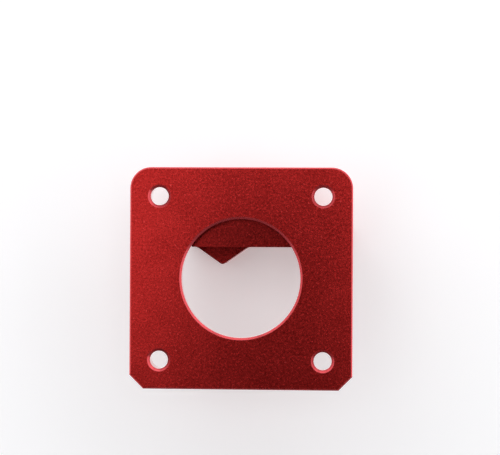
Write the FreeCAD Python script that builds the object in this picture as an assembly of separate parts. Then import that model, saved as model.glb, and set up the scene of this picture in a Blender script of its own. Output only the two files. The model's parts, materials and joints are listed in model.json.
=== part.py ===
import FreeCAD, Part

import math
import os

# Base plate of a filament feeder, milled from one billet of aluminium.
# The square plate bolts to the face of a stepper motor. A tall block on its far side guides the
# filament: it takes the tube fitting, and its wedge nose brings the filament to the drive gear.
#
# Frame: the origin is the centre of the pilot bore on the motor face, +Z points out of that face
# towards the motor, and +Y points to the side where the tube goes in. The block reaches down to -Z.

# motor plate
plate_width = 42.2  # along X
plate_length = 42.0  # along Y
plate_thickness = 3.0
tube_side_corner_radius = 4.0  # the two rounded corners at +Y
lever_side_corner_leg = 2.6  # the two cut corners at -Y
outline_edge_break = 0.25

# holes on the motor's bolt square
bolt_square = 31.0
bolt_hole_diameter = 3.4
bolt_hole_chamfer = 0.5
pilot_diameter = 22.5
pilot_chamfer = 0.4

# guide block, flush with the plate's +X and +Y sides
block_height = 20.0  # from the plate's far face to the block's end face
block_shoulder = 2.4  # from the nose's foot to the block's free end
block_face_offset = 5.9  # from the motor's axis to the inner face that the gear runs beside
block_outer_radius = 3.0  # vertical edge at the free end of the +Y side
block_inner_radius = 1.0  # vertical edges at both ends of the inner face
block_edge_break = 0.35

# filament path through the block, parallel to Y
filament_offset = 4.5  # from the motor's axis, towards -X
filament_depth = 15.5  # from the plate's far face
filament_bore_diameter = 2.0
tube_seat_diameter = 4.2
tube_seat_length = 5.5
port_diameter = 5.0  # tapping size of the fitting's 6 mm thread
port_length = 8.0
port_chamfer = 0.7

# wedge nose that carries the filament bore to the gear
nose_reach = 3.7  # out of the inner face
nose_half_width = 5.25
nose_height = 9.0  # up from the block's end face
nose_tip_radius = 0.8
nose_root_radius = 3.0

# blind seat of the lever's spring, in the inner face
spring_seat_diameter = 8.2
spring_seat_length = 3.5
spring_seat_depth = 6.7  # of its axis, from the plate's far face
spring_seat_setback = 6.5  # of its axis, from the plate's +X side
spring_seat_chamfer = 0.3

# notch in the block's corner, round the head of the fourth motor screw
notch_radius = 4.0  # about the screw
notch_outer_radius = 0.8  # vertical edges where the notch opens

# raised seat of the lever, round the motor screw that it turns on
lever_boss_diameter = 8.0
lever_boss_height = 1.2
lever_boss_edge_break = 0.2

half_width = plate_width / 2
half_length = plate_length / 2
half_square = bolt_square / 2
far_face = -plate_thickness
end_face = far_face - block_height
inside_plate = far_face / 2  # where the block and the boss start, inside the plate
filament_x = -filament_offset
filament_z = far_face - filament_depth
spring_x = half_width - spring_seat_setback
spring_z = far_face - spring_seat_depth
block_start = filament_x - nose_half_width - block_shoulder
notch_start = half_square - notch_radius
run_out = 1.0  # how far a cutter passes a face

UP = FreeCAD.Vector(0, 0, 1)
OUT = FreeCAD.Vector(0, 1, 0)


def corner_points(corner, before, after, radius):
    # start, middle and end of the arc that rounds a corner
    to_before = (before - corner).normalize()
    to_after = (after - corner).normalize()
    half_angle = to_before.getAngle(to_after) / 2
    inward = (to_before + to_after).normalize()
    tangent = radius / math.tan(half_angle)
    start = corner + to_before * tangent
    middle = corner + inward * (radius / math.sin(half_angle) - radius)
    end = corner + to_after * tangent
    return start, middle, end


def rounded_prism(corners, bottom, top):
    # a prism between two heights, over an outline of (x, y, radius) corners
    points = [FreeCAD.Vector(x, y, bottom) for x, y, radius in corners]
    edges = []
    ends = []
    for i, (x, y, radius) in enumerate(corners):
        after = points[(i + 1) % len(points)]
        if radius:
            start, middle, end = corner_points(points[i], points[i - 1], after, radius)
            edges.append(Part.Arc(start, middle, end).toShape())
            ends.append((start, end))
        else:
            ends.append((points[i], points[i]))
    for i, (start, end) in enumerate(ends):
        following = ends[(i + 1) % len(ends)][0]
        edges.append(Part.makeLine(end, following))
    outline = Part.Wire(Part.__sortEdges__(edges))
    return Part.Face(outline).extrude(UP * (top - bottom))


def edges_at(shape, height):
    # the edges that lie flat at one height
    flat = []
    for edge in shape.Edges:
        box = edge.BoundBox
        if abs(box.ZMin - height) < 1e-6 and abs(box.ZMax - height) < 1e-6:
            flat.append(edge)
    return flat


def drill(diameter, mouth, direction, length):
    # a round cutter that starts a little outside the mouth
    start = mouth - direction * run_out
    return Part.makeCylinder(diameter / 2, length + run_out, start, direction)


def countersink(diameter, leg, mouth, direction):
    # a 45 degree cutter for a hole's mouth
    start = mouth - direction * run_out
    wide = diameter / 2 + leg + run_out
    narrow = diameter / 2 - run_out
    return Part.makeCone(wide, narrow, 2 * run_out + leg, start, direction)


def bolt_place(side_x, side_y, height):
    return FreeCAD.Vector(side_x * half_square, side_y * half_square, height)


def motor_plate():
    leg = lever_side_corner_leg
    radius = tube_side_corner_radius
    corners = [
        (half_width, half_length, radius),
        (-half_width, half_length, radius),
        (-half_width, leg - half_length, 0),
        (leg - half_width, -half_length, 0),
        (half_width - leg, -half_length, 0),
        (half_width, leg - half_length, 0),
    ]
    plate = rounded_prism(corners, far_face, 0)
    rims = edges_at(plate, 0) + edges_at(plate, far_face)
    return plate.makeChamfer(outline_edge_break, rims)


def block_outline(nose):
    # the block's outline, with the wedge nose on its inner face or without
    corners = [
        (half_width, notch_start, notch_outer_radius),
        (notch_start, notch_start, notch_radius),
        (notch_start, half_length, notch_outer_radius),
        (block_start, half_length, block_outer_radius),
        (block_start, block_face_offset, block_inner_radius),
    ]
    if nose:
        corners += [
            (filament_x - nose_half_width, block_face_offset, nose_root_radius),
            (filament_x, block_face_offset - nose_reach, nose_tip_radius),
            (filament_x + nose_half_width, block_face_offset, nose_root_radius),
        ]
    corners.append((half_width, block_face_offset, block_inner_radius))
    return corners


def guide_block():
    nose_top = end_face + nose_height
    upper = rounded_prism(block_outline(False), nose_top, inside_plate)
    lower = rounded_prism(block_outline(True), end_face, nose_top)
    lower = lower.makeChamfer(block_edge_break, edges_at(lower, end_face))
    return upper.fuse(lower).removeSplitter()


def lever_boss():
    height = lever_boss_height - far_face + inside_plate
    boss = Part.makeCylinder(lever_boss_diameter / 2, height, bolt_place(-1, -1, inside_plate), -UP)
    rim = edges_at(boss, far_face - lever_boss_height)
    return boss.makeChamfer(lever_boss_edge_break, rim)


def pilot_cuts(block):
    # the bore stops at the plate's far face, so the block shows through it as a floor
    mouth = FreeCAD.Vector(0, 0, 0)
    exit_side = FreeCAD.Vector(0, 0, far_face)
    bore = drill(pilot_diameter, mouth, -UP, plate_thickness)
    near = countersink(pilot_diameter, pilot_chamfer, mouth, -UP)
    far = countersink(pilot_diameter, pilot_chamfer, exit_side, UP)
    return [bore, near, far.cut(block)]


def bolt_hole_cuts():
    cuts = []
    for side_x in (-1, 1):
        for side_y in (-1, 1):
            mouth = bolt_place(side_x, side_y, 0)
            cuts.append(drill(bolt_hole_diameter, mouth, -UP, -end_face))
            cuts.append(countersink(bolt_hole_diameter, bolt_hole_chamfer, mouth, -UP))
            far_height = far_face
            if side_x < 0 and side_y < 0:
                far_height = far_face - lever_boss_height
            far_mouth = bolt_place(side_x, side_y, far_height)
            cuts.append(countersink(bolt_hole_diameter, bolt_hole_chamfer, far_mouth, UP))
    return cuts


def filament_cuts():
    mouth = FreeCAD.Vector(filament_x, half_length, filament_z)
    port = drill(port_diameter, mouth, -OUT, port_length)
    seat = drill(tube_seat_diameter, mouth, -OUT, port_length + tube_seat_length)
    bore = drill(filament_bore_diameter, mouth, -OUT, plate_length)
    return [port, seat, bore, countersink(port_diameter, port_chamfer, mouth, -OUT)]


def spring_seat_cuts():
    mouth = FreeCAD.Vector(spring_x, block_face_offset, spring_z)
    seat = drill(spring_seat_diameter, mouth, OUT, spring_seat_length)
    return [seat, countersink(spring_seat_diameter, spring_seat_chamfer, mouth, OUT)]


def feeder_plate():
    block = guide_block()
    body = motor_plate().fuse([block, lever_boss()])
    cuts = pilot_cuts(block) + bolt_hole_cuts() + filament_cuts() + spring_seat_cuts()
    return body.cut(cuts).removeSplitter()


os.makedirs("parts", exist_ok=True)
plate = feeder_plate().Solids
print("solids", len(plate), "volume", round(plate[0].Volume, 1), "valid", plate[0].isValid())
plate[0].exportStep("parts/feeder_plate.step")
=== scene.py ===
import bmesh
import bpy
import json
import math
from mathutils import Matrix, Vector


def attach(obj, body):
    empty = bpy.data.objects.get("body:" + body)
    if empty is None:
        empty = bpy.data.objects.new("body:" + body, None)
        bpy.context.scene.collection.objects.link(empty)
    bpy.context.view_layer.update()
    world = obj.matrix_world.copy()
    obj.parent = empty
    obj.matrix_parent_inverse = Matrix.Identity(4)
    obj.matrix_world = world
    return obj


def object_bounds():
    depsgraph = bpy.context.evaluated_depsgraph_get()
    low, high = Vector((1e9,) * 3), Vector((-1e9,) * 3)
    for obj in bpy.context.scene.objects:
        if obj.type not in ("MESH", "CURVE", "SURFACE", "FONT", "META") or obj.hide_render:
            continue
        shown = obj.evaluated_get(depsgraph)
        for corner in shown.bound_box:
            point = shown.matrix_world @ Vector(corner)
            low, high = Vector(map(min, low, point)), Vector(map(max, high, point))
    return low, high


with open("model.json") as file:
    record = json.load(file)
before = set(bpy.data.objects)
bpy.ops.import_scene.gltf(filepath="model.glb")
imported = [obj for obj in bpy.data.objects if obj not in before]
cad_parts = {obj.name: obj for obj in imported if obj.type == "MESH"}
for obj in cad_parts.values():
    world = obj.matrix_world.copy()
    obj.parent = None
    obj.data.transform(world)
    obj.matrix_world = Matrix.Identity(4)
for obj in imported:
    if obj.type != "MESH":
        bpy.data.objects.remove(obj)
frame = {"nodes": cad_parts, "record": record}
cadLow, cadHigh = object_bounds()
mm = 0.001
plateNode = "feeder_plate"
mounts = {mount["name"]: mount for mount in frame["record"]["mounts"]}


# shader tools

class Value:
    # wraps a node socket so that it can be used in sums

    def __init__(self, graph, socket):
        self.graph = graph
        self.socket = socket

    def maths(self, operation, *others):
        return self.graph.node("ShaderNodeMath", {"operation": operation}, [self, *others])

    def __add__(self, other):
        return self.maths("ADD", other)

    def __sub__(self, other):
        return self.maths("SUBTRACT", other)

    def __mul__(self, other):
        return self.maths("MULTIPLY", other)

    def __gt__(self, other):
        return self.maths("GREATER_THAN", other)

    def __lt__(self, other):
        return self.maths("LESS_THAN", other)

    def __radd__(self, other):
        return self + other

    def __rmul__(self, other):
        return self * other

    def __rsub__(self, other):
        return self.graph.node("ShaderNodeMath", {"operation": "SUBTRACT"}, [other, self])

    def __abs__(self):
        return self.maths("ABSOLUTE")

    def root(self):
        return self.maths("SQRT")

    def highest(self, other):
        return self.maths("MAXIMUM", other)


class Graph:
    # the node tree of one material or of the world

    def __init__(self, owner):
        owner.use_nodes = True
        self.tree = owner.node_tree
        self.tree.nodes.clear()

    def node(self, kind, settings=None, inputs=None, output=0):
        made = self.tree.nodes.new(kind)
        for name, setting in (settings or {}).items():
            setattr(made, name, setting)
        pairs = inputs.items() if isinstance(inputs, dict) else enumerate(inputs or [])
        for key, given in pairs:
            if isinstance(given, Value):
                self.tree.links.new(given.socket, made.inputs[key])
            else:
                made.inputs[key].default_value = given
        return Value(self, made.outputs[output]) if made.outputs else made

    def split(self, vector):
        made = self.tree.nodes.new("ShaderNodeSeparateXYZ")
        self.tree.links.new(vector.socket, made.inputs[0])
        return [Value(self, socket) for socket in made.outputs]

    def smooth(self, value, low, high):
        # 0 below low, 1 above high, with a soft step between
        settings = {"interpolation_type": "SMOOTHSTEP"}
        return self.node("ShaderNodeMapRange", settings, {0: value, 1: low, 2: high})

    def noise(self, where, size, detail=2.0, roughness=0.5):
        inputs = {"Vector": where, "Scale": 1 / size, "Detail": detail, "Roughness": roughness}
        return self.node("ShaderNodeTexNoise", None, inputs)

    def blend(self, factor, first, second, way="MIX"):
        settings = {"data_type": "RGBA", "blend_type": way}
        return self.node("ShaderNodeMix", settings, {0: factor, 6: first, 7: second}, 2)

    def bump(self, height, depth, strength):
        inputs = {"Strength": strength, "Distance": depth, "Height": height}
        return self.node("ShaderNodeBump", None, inputs)

    def finish(self, shader, kind="ShaderNodeOutputMaterial"):
        self.node(kind, None, {"Surface": shader})


def colour(red, green, blue):
    # from the numbers of a colour picker to the shader's linear ones
    parts = (red, green, blue)
    return tuple(part / 12.92 if part <= 0.04045 else ((part + 0.055) / 1.055) ** 2.4 for part in parts)


# the anodised finish, with painted shade in the recesses and painted highlights on the edges and the grain

anodised = {
    "deepRed": colour(0.50, 0.06, 0.055),
    "brightRed": colour(0.80, 0.19, 0.185),
    # light pink of the painted glints on the blasted faces
    "sparkRed": colour(0.94, 0.52, 0.52),
    "boreRed": colour(0.66, 0.14, 0.14),
    # lighter pink of the painted highlight on chamfers and broken edges
    "edgeRed": colour(0.80, 0.31, 0.33),
    # dark red of the painted shade in the recesses, with its shares on the pocket floor and the nose top
    # below
    "deepestRed": colour(0.2, 0.03, 0.03),
    "noseTop": -14.0 * mm,
    "pocketFloor": -3.0 * mm,
    "pocketDeepening": 0.35,
    "noseDeepening": 0.5,
    "blastRoughness": 0.25,
    "boreRoughness": 0.2,
    "edgeRoughness": 0.26,
    "metallic": 0.82,
    "edgeMetallic": 0.75,
    "grainSize": 0.5 * mm,
    "fineGrainSize": 0.3 * mm,
    "patchSize": 6 * mm,
    "grainDepth": 0.02 * mm,
    "mouthWidth": 0.75,
    "wallBand": 0.2 * mm,
    "patchDetail": 3.0,
    "sparkFrom": 0.63,
    "sparkTo": 0.74,
    "sparkShare": 0.6,
    "toneFrom": 0.28,
    "toneTo": 0.72,
    "roughnessSwing": 0.2,
    "bumpStrength": 0.9,
}

# how far a surface leans to an axis, as the size of its normal's part along it
lean = {"wall": 0.2, "chamferLow": 0.5, "chamferHigh": 0.9, "flat": 0.95}


def chamfered(tilt):
    return (tilt > lean["chamferLow"]) * (tilt < lean["chamferHigh"])


def boreMasks(place, normal, name):
    # a bore's wall, its chamfered mouth and all that is inside it, each 1 where it is
    bore = mounts[name]
    away = [place[i] - bore["pos_m"][i] for i in range(3)]
    along = max(range(3), key=lambda i: abs(bore["axis"][i]))
    across = [away[i] * away[i] for i in range(3) if i != along]
    fromAxis = (across[0] + across[1]).root()
    tilt = abs(normal[along])
    radius = bore["dims"]["r_mm"] * mm
    near = abs(away[along]) < (bore["dims"]["length_mm"] / 2 + anodised["mouthWidth"]) * mm
    wall = near * (tilt < lean["wall"]) * (abs(fromAxis - radius) < anodised["wallBand"])
    mouth = near * chamfered(tilt) * (fromAxis < radius + anodised["mouthWidth"] * mm)
    return wall, mouth, near * (fromAxis < radius + anodised["wallBand"])


def boltWalls(place, normal):
    bolts = mounts["motor_bolts"]["dims"]
    alongX = abs(place[0]) - bolts["spacing_x_mm"] / 2 * mm
    alongY = abs(place[1]) - bolts["spacing_y_mm"] / 2 * mm
    fromBolt = (alongX * alongX + alongY * alongY).root()
    onWall = abs(fromBolt - bolts["hole_r_mm"] * mm) < anodised["wallBand"]
    return (abs(normal[2]) < lean["wall"]) * onWall


def anodisedMaterial():
    made = bpy.data.materials.new("anodisedRed")
    graph = Graph(made)
    where = graph.node("ShaderNodeTexCoord", None, None, 3)
    place = graph.split(where)
    normal = graph.split(graph.node("ShaderNodeNewGeometry", None, None, 3))
    # the cutter left the bores, chamfers and broken edges smooth; the chamfers and broken edges are also
    # painted a lighter pink, a painted highlight
    bore = boltWalls(place, normal)
    edge = chamfered(abs(normal[2]))
    for name in ("pilot_bore", "tube_port", "tube_seat", "filament_bore", "spring_seat"):
        wall, mouth, inside = boreMasks(place, normal, name)
        bore = bore.highest(wall)
        if name != "pilot_bore":
            edge = edge * (1 - inside)
        if name in ("tube_port", "spring_seat"):
            edge = edge.highest(mouth)
    blasted = 1 - bore.highest(edge)
    bore = bore * (1 - edge)

    grain = graph.noise(where, anodised["grainSize"], 3.0, 0.7)
    fineGrain = graph.noise(where, anodised["fineGrainSize"], 2.0, 0.6)
    patch = graph.noise(where, anodised["patchSize"], anodised["patchDetail"], 0.55)
    # painted glints: light pink flecks blended into the colour where the grain peaks, standing in for tiny
    # highlights
    paintedGlints = graph.smooth(grain * 0.3 + fineGrain * 0.7, anodised["sparkFrom"], anodised["sparkTo"])

    mottle = grain * 0.4 + fineGrain * 0.45 + patch * 0.15
    tone = graph.smooth(mottle, anodised["toneFrom"], anodised["toneTo"])
    body = graph.blend(tone, (*anodised["deepRed"], 1), (*anodised["brightRed"], 1))
    body = graph.blend(paintedGlints * anodised["sparkShare"], body, (*anodised["sparkRed"], 1))
    base = graph.blend(bore, body, (*anodised["boreRed"], 1))
    # painted highlight: chamfers and broken edges get a lighter pink
    base = graph.blend(edge, base, (*anodised["edgeRed"], 1))
    # painted shade: the floor behind the bore and the top of the nose are darkened towards a deep red,
    # standing in for the shade that falls in these recesses
    lyingUp = normal[2] > lean["flat"]
    floorMask = lyingUp * (abs(place[2] - anodised["pocketFloor"]) < anodised["wallBand"])
    noseMask = lyingUp * (abs(place[2] - anodised["noseTop"]) < anodised["wallBand"])
    paintedShade = floorMask * anodised["pocketDeepening"] + noseMask * anodised["noseDeepening"]
    base = graph.blend(paintedShade, base, (*anodised["deepestRed"], 1))

    smoothness = bore * anodised["boreRoughness"] + edge * anodised["edgeRoughness"]
    blastRoughness = anodised["blastRoughness"] + (grain - 0.5) * anodised["roughnessSwing"]
    roughness = blasted * blastRoughness + smoothness
    height = blasted * (grain * 0.6 + fineGrain * 0.4)
    bump = graph.bump(height, anodised["grainDepth"], anodised["bumpStrength"])
    inputs = {
        "Base Color": base,
        "Metallic": bore + edge * anodised["edgeMetallic"] + blasted * anodised["metallic"],
        "Roughness": roughness,
        "Specular IOR Level": 0.1,
        "Coat Weight": bore,
        "Coat Roughness": 0.08,
        "Normal": bump,
    }
    graph.finish(graph.node("ShaderNodeBsdfPrincipled", None, inputs))
    return made


# the fitting's thread, a right-handed ridge that winds along the tube port

portThread = {
    "pitch": 1.0,
    "crestDepth": 0.3,
    "crestWidth": 0.14,
    "footWidth": 0.84,
    "leadIn": 0.5,
    "stepsPerTurn": 40,
}


def makePortThread():
    port = mounts["tube_port"]
    wall = port["dims"]["r_mm"]
    length = port["dims"]["length_mm"] - 2 * portThread["leadIn"]
    foot = wall + 0.03
    crest = wall - portThread["crestDepth"]
    middle = Vector(port["pos_m"]) / mm
    start = middle - Vector((0, length / 2, 0))
    shape = bmesh.new()
    corners = [
        shape.verts.new((middle.x + foot, start.y - portThread["footWidth"] / 2, middle.z)),
        shape.verts.new((middle.x + crest, start.y - portThread["crestWidth"] / 2, middle.z)),
        shape.verts.new((middle.x + crest, start.y + portThread["crestWidth"] / 2, middle.z)),
        shape.verts.new((middle.x + foot, start.y + portThread["footWidth"] / 2, middle.z)),
    ]
    section = shape.faces.new(corners)
    steps = int(length / portThread["pitch"] * portThread["stepsPerTurn"])
    angle = 2 * math.pi * steps / portThread["stepsPerTurn"]
    climb = Vector((0, portThread["pitch"] / portThread["stepsPerTurn"], 0))
    wound = bmesh.ops.spin(shape, geom=[section, *section.edges, *corners], cent=start, axis=(0, 1, 0),
                           dvec=climb, angle=angle, steps=steps, use_merge=False)
    lastCorners = [part for part in wound["geom_last"] if isinstance(part, bmesh.types.BMVert)]
    for corner in corners + lastCorners:
        # the ridge runs out into the wall at both ends
        out = Vector((corner.co.x - middle.x, 0, corner.co.z - middle.z))
        corner.co += out.normalized() * (foot - out.length)
    bmesh.ops.recalc_face_normals(shape, faces=shape.faces)
    bmesh.ops.scale(shape, verts=shape.verts, vec=(mm, mm, mm))
    mesh = bpy.data.meshes.new("portThread")
    shape.to_mesh(mesh)
    shape.free()
    ridge = bpy.data.objects.new("portThread", mesh)
    bpy.context.scene.collection.objects.link(ridge)
    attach(ridge, "root")
    return ridge


# the stage

stage = {
    "floorSize": 3.0,
    "floorColour": colour(0.93, 0.93, 0.94),
    "floorGlow": 0.31,
    "floorShine": 0.5,
    "worldLight": 0.4,
    "southDim": 0.8,
    "dimFrom": 0.5,
    "dimTo": 0.95,
}


def stageFloor():
    mesh = bpy.data.meshes.new("floor")
    shape = bmesh.new()
    bmesh.ops.create_grid(shape, x_segments=1, y_segments=1, size=stage["floorSize"] / 2)
    bmesh.ops.translate(shape, verts=shape.verts, vec=(0, 0, cadLow.z))
    shape.to_mesh(mesh)
    shape.free()
    floor = bpy.data.objects.new("floor", mesh)
    bpy.context.scene.collection.objects.link(floor)
    material = bpy.data.materials.new("paperFloor")
    graph = Graph(material)
    seen = graph.node("ShaderNodeLightPath", None, None, 0)
    mirrored = graph.node("ShaderNodeLightPath", None, None, 3)
    paper = graph.node("ShaderNodeBsdfDiffuse", None, {"Color": (*stage["floorColour"], 1)})
    glowing = seen * stage["floorGlow"] + mirrored * stage["floorShine"]
    glow = graph.node("ShaderNodeEmission", None, {"Strength": glowing})
    graph.finish(graph.node("ShaderNodeAddShader", None, [paper, glow]))
    mesh.materials.append(material)


def stageWorld():
    world = bpy.data.worlds.new("studio")
    bpy.context.scene.world = world
    graph = Graph(world)
    direction = graph.split(graph.node("ShaderNodeTexCoord", None, None, 0))
    dim = graph.smooth(0 - direction[1], stage["dimFrom"], stage["dimTo"]) * stage["southDim"]
    seen = graph.node("ShaderNodeLightPath", None, None, 0)
    white = (1, 1, 1, 1)
    shown = graph.node("ShaderNodeBackground", None, {"Color": white, "Strength": 1.0})
    lighting = (1 - dim) * stage["worldLight"]
    lit = graph.node("ShaderNodeBackground", None, {"Color": white, "Strength": lighting})
    graph.finish(graph.node("ShaderNodeMixShader", None, [seen, lit, shown]), "ShaderNodeOutputWorld")


# soft lamps: each one's middle, what it faces and its two sides in millimetres, and its face's glow
lamps = {
    "leftPanel": {"place": (-120, 20, 270), "aim": (-120, 20, 0), "sides": (160, 120), "glow": 1.2},
    "upperLeftPanel": {"place": (-120, 160, 270), "aim": (-120, 160, 0), "sides": (160, 160), "glow": 0.12},
    "upperPanel": {"place": (80, 160, 270), "aim": (80, 160, 0), "sides": (240, 160), "glow": 0.15},
    "rightStrip": {"place": (60, 20, 270), "aim": (60, 20, 0), "sides": (40, 120), "glow": 1.4},
    "middlePanel": {"place": (0, 60, 270), "aim": (0, 60, 0), "sides": (80, 40), "glow": 1.2},
    "northWest": {"place": (-455, 455, 274), "aim": (0, 0, 0), "sides": (532, 594), "glow": 1.6},
    "north": {"place": (0, 644, 274), "aim": (0, 0, 0), "sides": (532, 594), "glow": 1.6},
    "northEast": {"place": (455, 455, 274), "aim": (0, 0, 0), "sides": (532, 594), "glow": 1.7},
    "east": {"place": (644, 0, 274), "aim": (0, 0, 0), "sides": (532, 594), "glow": 0.7},
    "southEast": {"place": (484, -484, 146), "aim": (0, 0, 0), "sides": (567, 285), "glow": 0.2},
}


def stageLamps():
    for name, lamp in lamps.items():
        light = bpy.data.lights.new(name, "AREA")
        light.shape = "RECTANGLE"
        light.size, light.size_y = [side * mm for side in lamp["sides"]]
        light.energy = math.pi * light.size * light.size_y * lamp["glow"]
        held = bpy.data.objects.new(name, light)
        place = Vector(lamp["place"]) * mm
        aim = Vector(lamp["aim"]) * mm
        turned = (aim - place).to_track_quat("-Z", "Y").to_matrix().to_4x4()
        held.matrix_world = Matrix.Translation(place) @ turned
        held.visible_camera = False
        bpy.context.scene.collection.objects.link(held)


# black cards over the part, which keep its top face from washing out
cards = {
    "cardOver": {"low": (-40, -80), "high": (40, 40)},
    "cardBelow": {"low": (-80, -200), "high": (200, -80)},
}
cardHeight = 268

# boards that stand on the floor and show only in the gloss: dark in front, bright at both sides
boards = {
    "frontBoard": {"place": (0, -150), "width": 500, "top": 60, "turn": 0, "glow": 0.12},
    "eastBoard": {"place": (250, 0), "width": 420, "top": 160, "turn": 90, "glow": 1.7},
    "westBoard": {"place": (-250, 0), "width": 420, "top": 160, "turn": 90, "glow": 1.7},
}


def stageBoards():
    for name, board in boards.items():
        shape = bmesh.new()
        bmesh.ops.create_grid(shape, x_segments=1, y_segments=1, size=0.5)
        height = board["top"] * mm - cadLow.z
        bmesh.ops.scale(shape, verts=shape.verts, vec=(board["width"] * mm, height, 1))
        upright = Matrix.Rotation(math.pi / 2, 3, "X")
        turned = Matrix.Rotation(math.radians(board["turn"]), 3, "Z")
        bmesh.ops.rotate(shape, verts=shape.verts, matrix=turned @ upright)
        middle = Vector((board["place"][0] * mm, board["place"][1] * mm, cadLow.z + height / 2))
        bmesh.ops.translate(shape, verts=shape.verts, vec=middle)
        mesh = bpy.data.meshes.new(name)
        shape.to_mesh(mesh)
        shape.free()
        material = bpy.data.materials.new(name)
        graph = Graph(material)
        graph.finish(graph.node("ShaderNodeEmission", None, {"Strength": board["glow"]}))
        mesh.materials.append(material)
        held = bpy.data.objects.new(name, mesh)
        bpy.context.scene.collection.objects.link(held)
        for way in ("camera", "diffuse", "transmission", "volume_scatter", "shadow"):
            setattr(held, "visible_" + way, False)


def stageCards():
    material = bpy.data.materials.new("blackPaper")
    graph = Graph(material)
    graph.finish(graph.node("ShaderNodeBsdfDiffuse", None, {"Color": (0.01, 0.01, 0.01, 1)}))
    for name, card in cards.items():
        shape = bmesh.new()
        bmesh.ops.create_grid(shape, x_segments=1, y_segments=1, size=0.5)
        low = Vector((*card["low"], cardHeight)) * mm
        high = Vector((*card["high"], cardHeight)) * mm
        bmesh.ops.scale(shape, verts=shape.verts, vec=(high.x - low.x, high.y - low.y, 1))
        bmesh.ops.translate(shape, verts=shape.verts, vec=(low + high) / 2)
        mesh = bpy.data.meshes.new(name)
        shape.to_mesh(mesh)
        shape.free()
        mesh.materials.append(material)
        held = bpy.data.objects.new(name, mesh)
        bpy.context.scene.collection.objects.link(held)
        held.visible_camera = False


camera = {
    "place": (15.85, 9.0, 260.0),
    "aim": (1.7, 9.64, 0.0),
    "lens": 99.36,
    "roll": 0.3,
}


def stageCamera():
    lens = bpy.data.cameras.new("camera")
    lens.lens = camera["lens"]
    lens.sensor_width = 36
    lens.clip_start = 0.01
    lens.clip_end = 10
    held = bpy.data.objects.new("camera", lens)
    place = Vector(camera["place"]) * mm
    back = (place - Vector(camera["aim"]) * mm).normalized()
    right = Vector((0, 1, 0)).cross(back).normalized()
    upright = Matrix((right, back.cross(right), back)).transposed()
    turned = upright @ Matrix.Rotation(math.radians(camera["roll"]), 3, "Z")
    held.matrix_world = Matrix.Translation(place) @ turned.to_4x4()
    bpy.context.scene.collection.objects.link(held)
    bpy.context.scene.camera = held


def dressPlate(finish):
    for slot in frame["nodes"][plateNode].material_slots:
        slot.material = finish


finish = anodisedMaterial()
dressPlate(finish)
print("plate dressed")
makePortThread().data.materials.append(finish)
print("thread cut")
stageFloor()
stageWorld()
stageLamps()
stageCards()
stageBoards()
stageCamera()
bpy.context.scene.view_settings.view_transform = "Standard"
print("stage set")
